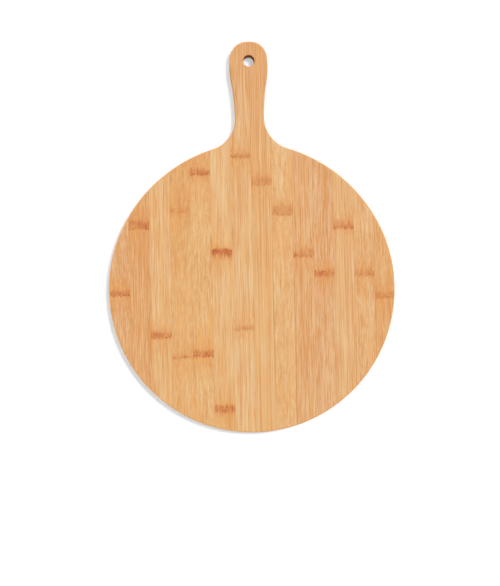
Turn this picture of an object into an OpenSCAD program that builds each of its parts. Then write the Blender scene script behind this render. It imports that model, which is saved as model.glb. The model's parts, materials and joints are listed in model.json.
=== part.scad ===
// Round pizza serving board with a paddle handle, pressed from three crossed plies of bamboo.
// The origin is the centre of the round plate on the underside, +Y runs up the handle and
// +Z is the serving side. All lengths are in millimetres.

/* [Plate] */
// Diameter of the round plate
disc_d = 280; // [264:1:300]
// How much larger the shoulder arcs' radius is than the plate's
shoulder_extra = 8; // [4:1:16]
// Angle from the handle's axis at which the plate's rim runs over into the shoulder arc
shoulder_angle = 58; // [50:1:66]
// Radius of the easing along the outer edges
edge_r = 2; // [0.5:0.25:2.5]

/* [Handle] */
// Length of the handle, from the plate's circle to the tip
handle_len = 102; // [92:1:116]
// Width of the neck, where the handle is narrowest
neck_w = 28; // [24:0.5:32]
// Width of the grip, where the handle is widest
grip_w = 37; // [34:0.5:42]
// Distance from the tip down to the grip's widest place
grip_drop = 24; // [20:0.5:30]
// Radius of the hollow between the shoulder and the neck
fillet_r = 32; // [24:1:40]
// Radius of the grip's swelling sides
side_r = 84; // [60:1:110]
// Radius of the grip's upper corners
corner_r = 16; // [12:0.5:17]
// Radius of the shallow curve across the tip
tip_r = 38; // [28:1:60]

/* [Hanging hole] */
// Diameter of the hanging hole
hole_d = 11; // [8:0.5:14]
// Distance from the tip down to the hole's centre
hole_drop = 19; // [16:0.5:24]
// Radius of the easing round each mouth of the hole
mouth_r = 1.2; // [0.4:0.1:1.6]

/* [Plies] */
// Thickness of each of the two outer plies
face_ply_t = 4; // [3:0.25:6]
// Thickness of the core ply
core_ply_t = 4; // [3:0.25:6]
// Number of strips in each outer ply on either side of the handle's axis
side_strips = 7; // [5:1:9]
// How far the two middle strips reach beyond the grip, which is cut from them alone
grip_margin = 1.5; // [0.5:0.25:3]
// Width of the first crosswise strip of the core, at the plate's lower rim
rim_strip_w = 10; // [6:0.5:16]
// How far above the plate's circle the core has its joint at the neck
neck_joint_rise = 30; // [24:0.5:36]
// Number of crosswise strips in the core from the first one up to that joint
core_plate_strips = 15; // [13:1:17]
// Number of crosswise strips in the core from that joint up past the hanging hole
core_neck_strips = 3; // [2:1:4]
// Distance from the hole's edge up to the last joint in the core
hole_joint_gap = 1.5; // [0.5:0.25:3]

/* [Hidden] */
board_t = 2 * face_ply_t + core_ply_t;
disc_r = disc_d / 2;
shoulder_r = disc_r + shoulder_extra;
neck_half = neck_w / 2;
grip_half = grip_w / 2;
tip_y = disc_r + handle_len;
hole_y = tip_y - hole_drop;
hole_r = hole_d / 2;
// Cuts and blanks reach this far past the wood
overrun = 1;
// Angle between two points of a facetted arc, and how far its chords may lie off the arc
widest_step = 9;
chord_sag = 0.03;
// Number of chords across a facetted easing
easing_steps = 5;
$fn = 180;

function unit(angle) = [cos(angle), sin(angle)];
function bearing(from, to) = atan2(to.y - from.y, to.x - from.x);
function two_digits(number) = str(number < 10 ? "0" : "", number);

// Where circles a and b meet, on the left of the way from a to b
function meeting(a, radius_a, b, radius_b) =
    let (
        span = norm(b - a),
        along = (span * span + radius_a * radius_a - radius_b * radius_b) / (2 * span),
        aside = sqrt(radius_a * radius_a - along * along),
        way = (b - a) / span
    )
    a + along * way + aside * [-way.y, way.x];

// Centres of the arcs that the outline runs along, each tangent to the one before it
shoulder_c = (disc_r - shoulder_r) * [sin(shoulder_angle), cos(shoulder_angle)];
shoulder_start = disc_r * [sin(shoulder_angle), cos(shoulder_angle)];
fillet_x = neck_half + fillet_r;
fillet_rise = sqrt(pow(shoulder_r + fillet_r, 2) - pow(fillet_x - shoulder_c.x, 2));
fillet_c = [fillet_x, shoulder_c.y + fillet_rise];
shoulder_end = shoulder_c + shoulder_r * unit(bearing(shoulder_c, fillet_c));
side_c = [grip_half - side_r, tip_y - grip_drop];
swell = grip_half - neck_half;
swell_run = side_c.y - fillet_c.y;
waist_r = (swell_run * swell_run + swell * swell) / (2 * swell) - side_r;
waist_c = [neck_half + waist_r, fillet_c.y];
tip_c = [0, tip_y - tip_r];
corner_c = meeting(side_c, side_r - corner_r, tip_c, tip_r - corner_r);

// The right half of the outline above the plate's own circle, in order up to the tip.
// Each arc has its centre, radius, first and last bearing, and 1 where the wood is inside it.
ARCS = [
    [shoulder_c, shoulder_r, 90 - shoulder_angle, bearing(shoulder_c, fillet_c), 1],
    [fillet_c, fillet_r, 180 + bearing(shoulder_c, fillet_c), 180, -1],
    [waist_c, waist_r, 180, 180 + bearing(side_c, waist_c), -1],
    [side_c, side_r, bearing(side_c, waist_c), bearing(side_c, corner_c), 1],
    [corner_c, corner_r, bearing(side_c, corner_c), bearing(tip_c, corner_c), 1],
    [tip_c, tip_r, bearing(tip_c, corner_c), 90, 1]
];

// Points along an arc at some depth inside the outline, without the last one
function arc_points(arc, depth) =
    let (
        step = min(widest_step, 2 * acos(1 - chord_sag / arc[1])),
        steps = ceil(abs(arc[3] - arc[2]) / step),
        turn = (arc[3] - arc[2]) / steps
    )
    [for (i = [0 : steps - 1]) arc[0] + (arc[1] - arc[4] * depth) * unit(arc[2] + i * turn)];

// The whole right half at some depth inside the outline, from the shoulder to the tip
function handle_points(depth) =
    concat([for (arc = ARCS) each arc_points(arc, depth)], [[0, tip_y - depth]]);

// A place on the axis that looks straight at every point of the half outline
sight = [0, fillet_c.y - 2 * fillet_r];

// The right half of the board above the plate's centre, one outer ply thick, edge eased on top
module handle_half() {
    levels = concat(
        [[0, 0]],
        [for (i = [0 : easing_steps])
            let (angle = 90 * i / easing_steps)
            [edge_r * (1 - cos(angle)), face_ply_t - edge_r * (1 - sin(angle))]]
    );
    rings = [for (level = levels)
        let (side = handle_points(level[0]))
        concat([sight, [0, 0], [side[0].x, 0]], side)];
    count = len(rings[0]);
    points = [for (i = [0 : len(levels) - 1]) each
        [for (point = rings[i]) [point.x, point.y, levels[i][1]]]];
    walls = [for (i = [0 : len(levels) - 2], j = [0 : count - 1])
        let (
            next = (j + 1) % count,
            low = i * count,
            high = low + count
        )
        each [[low + j, high + j, low + next], [low + next, high + j, high + next]]];
    under = [for (j = [1 : count - 2]) [0, j, j + 1]];
    top = (len(levels) - 1) * count;
    over = [for (j = [1 : count - 2]) [top, top + j + 1, top + j]];
    polyhedron(points, concat(walls, under, over));
}

// A full disc, one outer ply thick, with its edge eased on top
module eased_disc(radius) {
    rotate_extrude() difference() {
        square([radius, face_ply_t]);
        translate([radius - edge_r, face_ply_t - edge_r]) difference() {
            square(edge_r + overrun);
            circle(edge_r);
        }
    }
}

// What the drill and the easing cutter take out of one outer ply
module outer_hole() {
    translate([0, hole_y, -overrun]) cylinder(h = face_ply_t + 2 * overrun, r = hole_r);
    translate([0, hole_y, face_ply_t - mouth_r]) rotate_extrude() difference() {
        square([hole_r + mouth_r, mouth_r + overrun]);
        translate([hole_r + mouth_r, 0]) circle(mouth_r);
    }
}

// The two middle strips hold the whole handle, and the others share the rest of the plate
middle_strip_w = grip_half + grip_margin;
side_strip_w = (disc_r - middle_strip_w) / (side_strips - 1);
outer_strips = 2 * side_strips;
function outer_joint(place) = place == 0 ? 0 : middle_strip_w + (place - 1) * side_strip_w;

// One strip of an outer ply on the right of the axis, counted outwards from 1, eased side up
module outer_strip(place) {
    inner = outer_joint(place - 1);
    outer = place < side_strips ? outer_joint(place) : disc_r + overrun;
    middle = (inner + outer) / 2;
    reach = tip_y + overrun;
    blank_t = face_ply_t + 2 * overrun;
    if (middle > shoulder_start.x) {
        intersection() {
            translate([inner, -reach, -overrun]) cube([outer - inner, 2 * reach, blank_t]);
            eased_disc(disc_r);
        }
    } else {
        intersection() {
            translate([inner, -reach, -overrun]) cube([outer - inner, reach, blank_t]);
            eased_disc(disc_r);
        }
        intersection() {
            translate([inner, 0, -overrun]) cube([outer - inner, reach, blank_t]);
            if (inner < shoulder_end.x) handle_half();
            else translate(shoulder_c) eased_disc(shoulder_r);
        }
    }
}

// One strip of an outer ply, counted from 1 at the left rim, with the hole drilled
module ply_strip(number) {
    place = number > side_strips ? number - side_strips : side_strips + 1 - number;
    side = number > side_strips ? 0 : 1;
    difference() {
        mirror([side, 0, 0]) outer_strip(place);
        if (place == 1) outer_hole();
    }
}

// Joints of the core ply, counted from 1 at the plate's lower rim to the last one above the hole
core_strips = core_plate_strips + core_neck_strips + 2;
first_joint_y = rim_strip_w - disc_r;
neck_joint_y = disc_r + neck_joint_rise;
last_joint_y = hole_y + hole_r + hole_joint_gap;
function core_joint(place) =
    let (plate_place = place - 1, neck_place = plate_place - core_plate_strips)
    neck_place < 0
        ? first_joint_y + (neck_joint_y - first_joint_y) * plate_place / core_plate_strips
        : neck_joint_y + (last_joint_y - neck_joint_y) * neck_place / core_neck_strips;

// Outline of the core ply around one of its strips
module core_outline(low, high) {
    middle = (low + high) / 2;
    depth = board_t + 2 * overrun;
    if (high > shoulder_end.y) {
        right = concat([[0, 0], [shoulder_start.x, 0]], handle_points(0));
        translate([0, 0, -overrun]) linear_extrude(depth) {
            polygon(concat(right, [for (i = [len(right) - 2 : -1 : 1]) [-right[i].x, right[i].y]]));
        }
    } else if (middle > shoulder_start.y) {
        intersection_for (side = [-1, 1]) {
            translate([side * shoulder_c.x, shoulder_c.y, -overrun]) cylinder(h = depth, r = shoulder_r);
        }
    } else {
        translate([0, 0, -overrun]) cylinder(h = depth, r = disc_r);
    }
}

// One strip of the core ply, counted from 1 at the lower rim
module core_ply_strip(number) {
    low = number > 1 ? core_joint(number - 1) : -disc_r - overrun;
    high = number < core_strips ? core_joint(number) : tip_y + overrun;
    reach = disc_r + overrun;
    difference() {
        intersection() {
            translate([-reach, low, face_ply_t]) cube([2 * reach, high - low, core_ply_t]);
            core_outline(low, high);
        }
        if (low < hole_y + hole_r && high > hole_y - hole_r) {
            translate([0, hole_y, -overrun]) cylinder(h = board_t + 2 * overrun, r = hole_r);
        }
    }
}

// The three colours that bamboo of one batch comes in, set side by side as the photo shows them
LIGHT = "#ECC291";
HONEY = "#E2AF78";
DARK = "#D29A67";
// Colours of the face strips from the left rim to the right; the hidden plies start further on
TONES = [HONEY, DARK, LIGHT, HONEY, HONEY, LIGHT, LIGHT, HONEY, LIGHT, HONEY, DARK, LIGHT, HONEY, HONEY];
CORE_SHIFT = 5;
BACK_SHIFT = 9;
function tone(number, shift) = TONES[(number - 1 + shift) % len(TONES)];

module face_strip(number) {
    color(tone(number, 0)) translate([0, 0, face_ply_t + core_ply_t]) ply_strip(number);
}

module core_strip(number) {
    color(tone(number, CORE_SHIFT)) core_ply_strip(number);
}

module back_strip(number) {
    color(tone(number, BACK_SHIFT)) translate([0, 0, face_ply_t]) mirror([0, 0, 1]) ply_strip(number);
}

function face_name(number) = str("face_strip_", two_digits(number));
function core_name(number) = str("core_strip_", two_digits(number));
function back_name(number) = str("back_strip_", two_digits(number));

for (number = [1 : outer_strips]) {
    face_strip(number);
    back_strip(number);
}
for (number = [1 : core_strips]) {
    core_strip(number);
}
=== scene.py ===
import bpy
import json
import math
import random
from mathutils import Matrix, Vector


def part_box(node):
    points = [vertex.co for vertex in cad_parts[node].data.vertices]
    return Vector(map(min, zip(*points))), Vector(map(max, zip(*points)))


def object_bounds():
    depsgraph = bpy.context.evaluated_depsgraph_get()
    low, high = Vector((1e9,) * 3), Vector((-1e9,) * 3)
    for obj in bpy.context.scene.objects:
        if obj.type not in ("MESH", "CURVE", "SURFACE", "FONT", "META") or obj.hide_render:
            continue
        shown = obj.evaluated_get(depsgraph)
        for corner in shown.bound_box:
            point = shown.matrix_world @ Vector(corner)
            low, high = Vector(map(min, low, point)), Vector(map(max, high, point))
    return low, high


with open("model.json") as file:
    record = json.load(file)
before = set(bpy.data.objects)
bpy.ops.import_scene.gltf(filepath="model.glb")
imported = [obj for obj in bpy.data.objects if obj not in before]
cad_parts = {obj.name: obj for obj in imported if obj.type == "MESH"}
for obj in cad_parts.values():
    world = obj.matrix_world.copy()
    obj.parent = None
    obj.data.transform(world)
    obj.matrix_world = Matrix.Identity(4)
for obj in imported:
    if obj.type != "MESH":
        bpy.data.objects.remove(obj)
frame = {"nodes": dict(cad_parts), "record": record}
CAD_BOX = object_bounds()
nodes = frame["nodes"]
MM = 0.001

# The face slats.
# Fourteen slats of carbonised bamboo, glued edge to edge and pressed onto the core, then milled to
# the outline, eased and sanded. The culm's fibres run along each slat as fine streaks, and each
# knuckle of the culm leaves a scorched band across it.


class Grain:
    """A number, place or colour that varies over the wood; arithmetic on it adds Math nodes."""

    def __init__(self, tree, socket=None):
        self.tree = tree
        self.socket = socket

    def node(self, kind, settings, inputs, output=0):
        """Adds one node, sets it up, fills or links its inputs and wraps one of its outputs."""
        made = self.tree.nodes.new(kind)
        for name, value in settings.items():
            setattr(made, name, value)
        for name, value in inputs.items():
            if isinstance(value, Grain):
                self.tree.links.new(value.socket, made.inputs[name])
            else:
                made.inputs[name].default_value = value
        return Grain(self.tree, made.outputs[output])

    def maths(self, operation, *terms):
        return self.node("ShaderNodeMath", {"operation": operation}, dict(enumerate(terms)))

    def __add__(self, other):
        return self.maths("ADD", self, other)

    __radd__ = __add__

    def __sub__(self, other):
        return self.maths("SUBTRACT", self, other)

    def __rsub__(self, other):
        return self.maths("SUBTRACT", other, self)

    def __mul__(self, other):
        return self.maths("MULTIPLY", self, other)

    __rmul__ = __mul__

    def __truediv__(self, other):
        return self.maths("DIVIDE", self, other)

    def __pow__(self, other):
        return self.maths("POWER", self, other)

    def __abs__(self):
        return self.maths("ABSOLUTE", self)

    def least(self, other):
        return self.maths("MINIMUM", self, other)

    def ease(self, low, high):
        """0 at low, 1 at high, smooth between them and flat beyond; low may be the larger."""
        ends = {"Value": self, "From Min": low, "From Max": high}
        return self.node("ShaderNodeMapRange", {"interpolation_type": "SMOOTHSTEP"}, ends)

    def mix(self, below, above):
        """The colour below where this number is 0, and above where it is 1."""
        # The node's own colours are its inputs 6 and 7, and its output 2
        colours = {"Factor": self, 6: below, 7: above}
        return self.node("ShaderNodeMix", {"data_type": "RGBA"}, colours, 2)

    def parts(self):
        """The x, y and z of a place or a direction."""
        split = self.node("ShaderNodeSeparateXYZ", {}, {"Vector": self}).socket.node
        return [Grain(self.tree, output) for output in split.outputs]


def paint(hex_colour):
    """The linear colour of a painter's hex value, by the standard screen curve."""
    parts = [int(hex_colour[i:i + 2], 16) / 255 for i in (1, 3, 5)]
    return [p / 12.92 if p <= 0.04045 else ((p + 0.055) / 1.055) ** 2.4 for p in parts] + [1]


# Ground tissue, the usual tone of a golden culm and of a rosy one, dense fibre, and the warm stain
# that some fibres carry
PALE = paint("#E0BB87")
HONEY = paint("#DAA66C")
ROSY = paint("#D9A87E")
FIBRE = paint("#CF8B4A")
AMBER = paint("#E0A058")
# A knuckle's scorched band and its darkest specks
KNUCKLE = paint("#C5743A")
SCORCH = paint("#B05522")
# A painted highlight along the eased rim, a painted shade on the wall of the hanging hole, and the
# glue in a joint
RIM_HIGHLIGHT = paint("#F0B06E")
HOLE_SHADE = paint("#A65C24")
GLUE = paint("#A8703F")

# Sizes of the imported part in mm: a ply's thickness, the ends of the board, and the hanging hole
PLY_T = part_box("back_strip_01")[1].z / MM
FOOT_Y, TIP_Y = (corner.y / MM for corner in CAD_BOX)
hole = next(mount for mount in frame["record"]["mounts"] if mount["name"] == "hanging_hole")
HOLE_Y = hole["pos_m"][1] / MM
HOLE_R = hole["dims"]["r_mm"]

# The glue's line, the raised grain and the band of painted shade on the drilled wall, in mm, and
# how
#  strongly the glue and the painted shade show
GLUE_W, GLUE_SHOWS = 0.2, 0.5
HOLE_SHADE_T, HOLE_SHADE_SHOWS = 0.6, 0.9
RELIEF = 0.06
# The wood gets darker and rosier up the handle by these shares, from one height to the other
DARKER_BY, ROSIER_BY = 0.13, 0.5
DARKER_FROM, DARKER_TO = 115, 205
# How rough the face is, and how much rougher the cut sides are
FACE_ROUGH, CUT_ROUGHER = 0.55, 0.25
# Each slat is cut this much farther along the culm than the one before
CULM_STEP = 730
# A streak of this length doesn't change over a knuckle
UNCHANGED = 300

# A knuckle in mm: how wide its waves, teeth, roots and specks are, how far its waves and roots
# swing, how soft its edges are, and how far from it the wood is stained and its fibres are twisted
WAVE_W, TOOTH_W, ROOT_W, SPECK_W = 7, 0.8, 1.1, 1.4
WAVE_SWING, ROOT_SWING = 2.5, 8
SOFT_EDGE = 1.5
STAIN_REACH, TWIST_REACH = 14, 30


def cells(place, wide, long, shift=0.0):
    """The place counted in cells of that width and length, drawn out along the fibres."""
    terms = {0: place, 1: (1 / wide, 1 / long, 1 / wide), 2: (0, shift, 0)}
    return place.node("ShaderNodeVectorMath", {"operation": "MULTIPLY_ADD"}, terms)


def streaks(place, wide, long, detail=1.0, shift=0.0):
    """Noise about 0 in cells of that width and length in mm."""
    noise = {"Vector": cells(place, wide, long, shift), "Scale": 1.0, "Detail": detail}
    return place.node("ShaderNodeTexNoise", {}, noise) - 0.5


def knuckle(place, along, shift, height, strength, depth, spikes):
    """The scorch and the stain of one knuckle, and how much the fibres twist round it.

    Its fibres end in spikes of that length, which stand up, or hang down where it is negative.
    """
    wave = streaks(place, WAVE_W, UNCHANGED, shift=shift) * WAVE_SWING
    above = (along - height + wave) * math.copysign(1, spikes)
    spikes = abs(spikes)

    # The band runs from its ragged root to the tops of its teeth, and pales towards them
    teeth = streaks(place, TOOTH_W, UNCHANGED, shift=shift + 2).ease(-0.12, 0.2)
    root = streaks(place, ROOT_W, UNCHANGED, shift=shift + 4) * ROOT_SWING + above + depth / 2
    tops = teeth * spikes + depth * 0.35
    body = root.ease(-SOFT_EDGE, SOFT_EDGE) * (above - tops).ease(SOFT_EDGE, -SOFT_EDGE)
    body = body * (1 - 0.6 * above.ease(depth * 0.2, depth / 2 + spikes))

    # Its scorch is patchy, with a row of the darkest specks near the root
    patch = streaks(place, wide=5, long=9, shift=shift + 6) * 1.6
    patch = patch + streaks(place, wide=0.7, long=5, detail=2, shift=shift + 8) * 2.2
    specks = streaks(place, SPECK_W, SPECK_W, detail=0, shift=shift).ease(0.06, 0.2)
    specks = specks * abs(above + (depth / 2 - 1.0)).ease(1.8, 0.5)

    # The wood glows warm round it, most of all in the fibres that end as teeth
    stain = abs(above - depth / 4).ease(STAIN_REACH, 1)
    glow = stain ** 3 * (0.15 + teeth * 0.25)
    scorch = (body * (0.72 + patch) + specks * 1.1 + glow) * strength
    twist = abs(above).ease(TWIST_REACH, 4)
    return scorch, (stain + twist) * strength, twist


def fibres_of(place, twist, run):
    """The whole grain, its threads and its single fibres; run is how far its streaks run."""
    short = max(0, 1 - run)
    broad = streaks(place, wide=6.5, long=190)
    streak = streaks(place, wide=1.5, long=50 * run)
    thread = streaks(place, wide=0.58, long=36 * run, shift=50) * (1 - twist * 0.4)
    thread = thread + streaks(place, wide=0.8, long=7) * twist * 0.5
    line = streaks(place, wide=0.65, long=170 * run, shift=70)
    fibre = streaks(place, wide=0.4, long=12, detail=2)
    cloud = streaks(place, wide=14, long=30, detail=2)
    mottle = streaks(place, wide=1.4, long=6, detail=2, shift=20)
    grain = broad * 0.55 + streak * 0.4 + thread * (2.4 - short) + line * 1.2 + fibre * 0.8
    grain = grain + cloud * 0.45 + mottle * (1.8 * short)
    return grain, thread, fibre


def glue_lines(name, fibres, across, up):
    """1 on the joints with the neighbouring slats and between the plies, 0 off them."""
    low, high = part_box(name)
    side = 1 if fibres == "X" else 0
    joint = (across - low[side] / MM).least(high[side] / MM - across)
    joint = joint.least(abs(up - PLY_T)).least(abs(up - 2 * PLY_T))
    return joint.ease(GLUE_W, GLUE_W / 4)


def drilled(name):
    """Whether the hanging hole goes through the slat of that name."""
    low, high = (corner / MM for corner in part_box(name))
    beside = low.x < HOLE_R and high.x > -HOLE_R
    return beside and low.y < HOLE_Y + HOLE_R and high.y > HOLE_Y - HOLE_R


def bamboo(name, number, fibres, tones, knuckles):
    """Bamboo for the slat of that name, its fibres along that axis, cut at that number's place."""
    material = bpy.data.materials.new("bamboo_" + name)
    material.use_nodes = True
    tree = material.node_tree
    wood = Grain(tree)
    place = wood.node("ShaderNodeTexCoord", {}, {}, "Object")
    x, y, up = (part / MM for part in place.parts())
    normal = wood.node("ShaderNodeNewGeometry", {}, {}, "Normal")
    steep_x, steep_y, flat = (abs(part) for part in normal.parts())
    along, across, cut = (x, y, steep_x) if fibres == "X" else (y, x, steep_y)
    wall = flat.ease(0.45, 0.2)
    ends = wall * cut.ease(0.4, 0.95)

    culm = {"X": across, "Y": along + CULM_STEP * number, "Z": up}
    place = wood.node("ShaderNodeCombineXYZ", {}, culm)
    marks = [
        knuckle(place, along, 10 * turn, *values) for turn, values in enumerate(knuckles)
    ]
    scorch, stain, twist = (sum(mark[1:], mark[0]) for mark in zip(*marks))

    # Fibres wander a little, and twist and run short where a knuckle is near
    foot, tip, contrast, run, gold = tones
    wander = streaks(place, wide=60, long=90) * 1.5
    wander = wander + streaks(place, wide=4.5, long=15) * twist * 4.5
    place = wood.node("ShaderNodeCombineXYZ", {}, culm | {"X": across + wander})
    grain, thread, fibre = fibres_of(place, twist, run)
    handle = along.ease(DARKER_FROM, DARKER_TO)
    tone = foot + (tip - foot) * along.ease(FOOT_Y, TIP_Y) + handle * DARKER_BY
    shade = tone + grain * (contrast - ends * 0.5) + stain * 0.2

    # Pale ground deepens to the culm's usual tone and on to dense fibre, and amber stains it
    usual = [gold * golden + (1 - gold) * rosy for golden, rosy in zip(HONEY, ROSY)]
    usual = (handle * ROSIER_BY).mix(usual, ROSY)
    warmth = streaks(place, wide=2.4, long=70, shift=90).ease(-0.05, 0.3)
    colour = shade.ease(-0.1, 0.45).mix(PALE, usual)
    colour = shade.ease(0.35, 1.05).mix(colour, FIBRE)
    colour = (warmth * (0.7 * gold) + stain * 0.18).mix(colour, AMBER)
    colour = scorch.ease(0.0, 1.0).mix(colour, KNUCKLE)
    colour = scorch.ease(0.8, 1.6).mix(colour, SCORCH)
    joint = glue_lines(name, fibres, across, up)
    colour = (joint * GLUE_SHOWS).mix(colour, GLUE)

    # Fibres cut across are dots in a darker ground
    dots = {"Vector": cells(place, wide=0.85, long=40), "Scale": 1.0}
    dots = wood.node("ShaderNodeTexVoronoi", {}, dots).ease(0.42, 0.2)
    colour = (ends * 0.3).mix(colour, FIBRE)
    colour = (ends * dots * 0.55).mix(colour, KNUCKLE)

    # The eased rim gets its painted highlight, and the wall of the hole is painted darker as shade
    # Painted highlight: the eased rim is painted a brighter orange all round, as if it caught the
    # light
    highlit_rim = flat.ease(0.998, 0.85) * flat.ease(0.1, 0.4)
    colour = (highlit_rim * (0.65 - grain * 0.8)).mix(colour, RIM_HIGHLIGHT)
    if drilled(name):
        radius = (x ** 2 + (y - HOLE_Y) ** 2) ** 0.5
        # Painted shade: the hole's wall is painted dark brown where it only lies in shade
        hole_shade = wall * radius.ease(HOLE_R + HOLE_SHADE_T, HOLE_R + HOLE_SHADE_T / 3)
        colour = (hole_shade * HOLE_SHADE_SHOWS).mix(colour, HOLE_SHADE)

    shader = tree.nodes["Principled BSDF"]
    tree.links.new(colour.socket, shader.inputs["Base Color"])
    rough = FACE_ROUGH + fibre * 0.25 + wall * CUT_ROUGHER
    tree.links.new(rough.socket, shader.inputs["Roughness"])
    height = thread * 0.6 + fibre - joint * 0.6
    relief = {"Strength": 0.5, "Distance": RELIEF * MM, "Height": height}
    bump = wood.node("ShaderNodeBump", {}, relief)
    tree.links.new(bump.socket, shader.inputs["Normal"])
    shader.inputs["Specular IOR Level"].default_value = 0.2
    mesh = nodes[name].data
    mesh.materials.clear()
    mesh.materials.append(material)


# Each face slat from the left rim to the right: its tones at the foot and at the tip, 0 pale and
# 1 dark, its contrast, how far its streaks run, 1 as usual, and how golden it is, 0 rosy; then its
# knuckles' heights in mm, strengths, depths and spikes
FACE_SLATS = [
    ((0.55, 0.60, 0.90, 0.40, 0.50), [(-2, 0.85, 5, 3)]),
    ((0.74, 0.76, 1.00, 0.70, 0.70), [(63, 0.80, 7, 9)]),
    ((0.45, 0.28, 1.00, 0.80, 1.00), [(-43, 0.75, 6, 4)]),
    ((0.45, 0.68, 0.70, 0.30, 1.15), [(-65, 0.50, 3, 4), (78, 0.35, 5, 3)]),
    ((0.46, 0.46, 0.85, 0.35, 1.15), [(-62, 0.85, 6, 4), (114, 0.80, 6, 4)]),
    ((0.38, 0.15, 0.90, 0.80, 1.00), [(-116, 0.95, 7, -3), (37, 1.10, 5, -7)]),
    ((0.26, 0.46, 1.05, 1.00, 0.85), [(-38, 0.40, 4, 4), (130, 0.50, 3.5, 3)]),
    ((0.44, 0.52, 0.85, 3.00, 1.05), [(105, 0.50, 9, 4)]),
    ((0.42, 0.36, 0.85, 0.40, 1.00), [(76, 0.55, 10, 6)]),
    ((0.60, 0.55, 1.00, 0.80, 0.60), [(32, 0.55, 4, 8)]),
    ((0.50, 0.78, 1.00, 0.60, 0.40), [(14, 0.75, 6, -3)]),
    ((0.46, 0.46, 1.05, 1.50, 0.75), [(60, 0.65, 5, 8)]),
    ((0.54, 0.40, 0.95, 0.45, 0.75), [(14, 0.55, 6, 4)]),
    ((0.58, 0.58, 0.85, 0.50, 0.85), [(-9, 0.65, 6, 6)]),
]
for number, (tones, knuckles) in enumerate(FACE_SLATS, 1):
    bamboo(f"face_strip_{number:02d}", number, "Y", tones, knuckles)

# The core slats.
# The same bamboo slats, laid crosswise and pressed between the other two plies to keep the board
# from warping. They show only along the rim, on the handle's sides and in the hole.
CORE_CONTRAST, CORE_RUN = 0.9, 1
CORE_DEPTH, CORE_SPIKES = 5, 4
HIDDEN_GOLD = 0.8
draw = random.Random(5)
core_names = sorted(name for name in nodes if name.startswith("core_strip_"))
for number, name in enumerate(core_names, len(FACE_SLATS) + 1):
    foot, tip = draw.uniform(0.4, 0.8), draw.uniform(0.4, 0.8)
    height, strength = draw.uniform(-120, 120), draw.uniform(0.4, 0.9)
    tones = (foot, tip, CORE_CONTRAST, CORE_RUN, HIDDEN_GOLD)
    bamboo(name, number, "X", tones, [(height, strength, CORE_DEPTH, CORE_SPIKES)])

# The back slats.
# The third ply of bamboo, again lengthwise and pressed onto the core. It is the underside that lies
# on the table, so it is planed and oiled like the face, and its knuckles fall where they will.
KNUCKLE_PITCH = 205
BACK_SPIKES = (4, -4)
back_names = sorted(name for name in nodes if name.startswith("back_strip_"))
for number, name in enumerate(back_names, len(FACE_SLATS) + len(core_names) + 1):
    foot, tip = draw.uniform(0.3, 0.75), draw.uniform(0.3, 0.75)
    contrast, run = draw.uniform(0.75, 1), draw.uniform(0.3, 1.5)
    first = draw.uniform(-130, 20)
    knuckles = [
        (first + turn * KNUCKLE_PITCH, draw.uniform(0.4, 1.2), draw.uniform(4, 7), spikes)
        for turn, spikes in enumerate(BACK_SPIKES)
    ]
    bamboo(name, number, "Y", (foot, tip, contrast, run, HIDDEN_GOLD), knuckles)

# The floor.
# A plain white sheet just under the board. It runs on so far that it fills every view from above,
# and it belongs to the studio and not to the board.
FLOOR_HALF = 25.0
FLOOR_DROP = 0.3 * MM
corners = [
    (x * FLOOR_HALF, y * FLOOR_HALF, -FLOOR_DROP) for x, y in ((-1, -1), (1, -1), (1, 1), (-1, 1))
]
floor_mesh = bpy.data.meshes.new("floor")
floor_mesh.from_pydata(corners, [], [(0, 1, 2, 3)])
floor = bpy.data.objects.new("floor", floor_mesh)
bpy.context.scene.collection.objects.link(floor)
white = bpy.data.materials.new("white_floor")
white.use_nodes = True
white_shader = white.node_tree.nodes["Principled BSDF"]
white_shader.inputs["Base Color"].default_value = (0.95, 0.95, 0.95, 1)
white_shader.inputs["Roughness"].default_value = 0.9
white_shader.inputs["Specular IOR Level"].default_value = 0.1
floor_mesh.materials.append(white)

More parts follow.
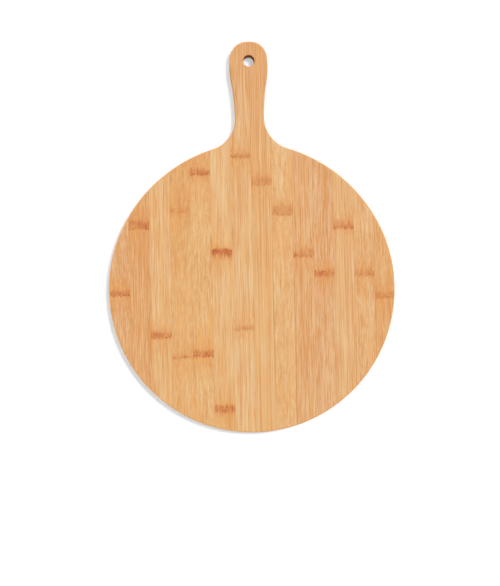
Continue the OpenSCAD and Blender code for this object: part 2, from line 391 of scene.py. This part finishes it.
# The light and the camera.
# A white studio with a soft warm lamp at the upper right, whose narrow shadow lies along the
# board's left and lower rim, a cooler lamp beside the camera and a faint one low on the left. The
# camera looks down from a little to the left, and the board lies a degree askew in the frame.
ZENITH, HORIZON = 0.02, 0.9
SKY_TINT = (0.97, 0.99, 1.02, 1)
world = bpy.data.worlds.new("sky")
bpy.context.scene.world = world
world.use_nodes = True
air = Grain(world.node_tree)
climb = air.node("ShaderNodeTexCoord", {}, {}, "Generated").parts()[2]
glow = ZENITH + (HORIZON - ZENITH) * climb.ease(0.4, 0.1)
background = world.node_tree.nodes["Background"]
background.inputs["Color"].default_value = SKY_TINT
world.node_tree.links.new(glow.socket, background.inputs["Strength"])

BOARD_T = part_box("face_strip_01")[1].z
EYE = Vector((-89.6, -8, 1120)) * MM
AIM = Vector((-3.4 * MM, -3.8 * MM, BOARD_T))
FRAME_LONG_SIDE = 571.5 * MM
BOARD_LEAN = math.radians(1.15)


def lamp(name, toward, strength, spread, colour):
    """A far lamp in that direction, spread over those degrees; strength is the white it gives a
    level sheet."""
    data = bpy.data.lights.new(name, "SUN")
    toward = toward.normalized()
    data.energy = strength * math.pi / toward.z
    data.angle = math.radians(spread)
    data.color = colour
    made = bpy.data.objects.new(name, data)
    made.rotation_mode = "QUATERNION"
    made.rotation_quaternion = toward.to_track_quat("Z", "Y")
    bpy.context.scene.collection.objects.link(made)


LAMP_BEARING = math.radians(39)
LAMP_HEIGHT = math.radians(66)
LEFT_LAMP_HEIGHT = math.radians(28)
upper_right = Vector((math.cos(LAMP_BEARING), math.sin(LAMP_BEARING), math.tan(LAMP_HEIGHT)))
left = Vector((-1, -0.3, math.tan(LEFT_LAMP_HEIGHT)))
lamp("upper_right_lamp", upper_right, strength=0.49, spread=16, colour=(1.11, 0.985, 0.98))
lamp("camera_lamp", EYE - AIM, strength=0.51, spread=9, colour=(0.84, 0.99, 1.075))
lamp("left_lamp", left, strength=0.06, spread=30, colour=(0.95, 1.0, 1.0))

camera_data = bpy.data.cameras.new("camera")
camera = bpy.data.objects.new("camera", camera_data)
bpy.context.scene.collection.objects.link(camera)
bpy.context.scene.camera = camera
look = (AIM - EYE).normalized()
right = look.cross(Vector((math.sin(BOARD_LEAN), math.cos(BOARD_LEAN), 0))).normalized()
turned = Matrix((right, right.cross(look), -look)).transposed()
camera.matrix_world = Matrix.Translation(EYE) @ turned.to_4x4()
camera_data.lens = camera_data.sensor_width * (AIM - EYE).length / FRAME_LONG_SIDE
bpy.context.scene.view_settings.view_transform = "Standard"
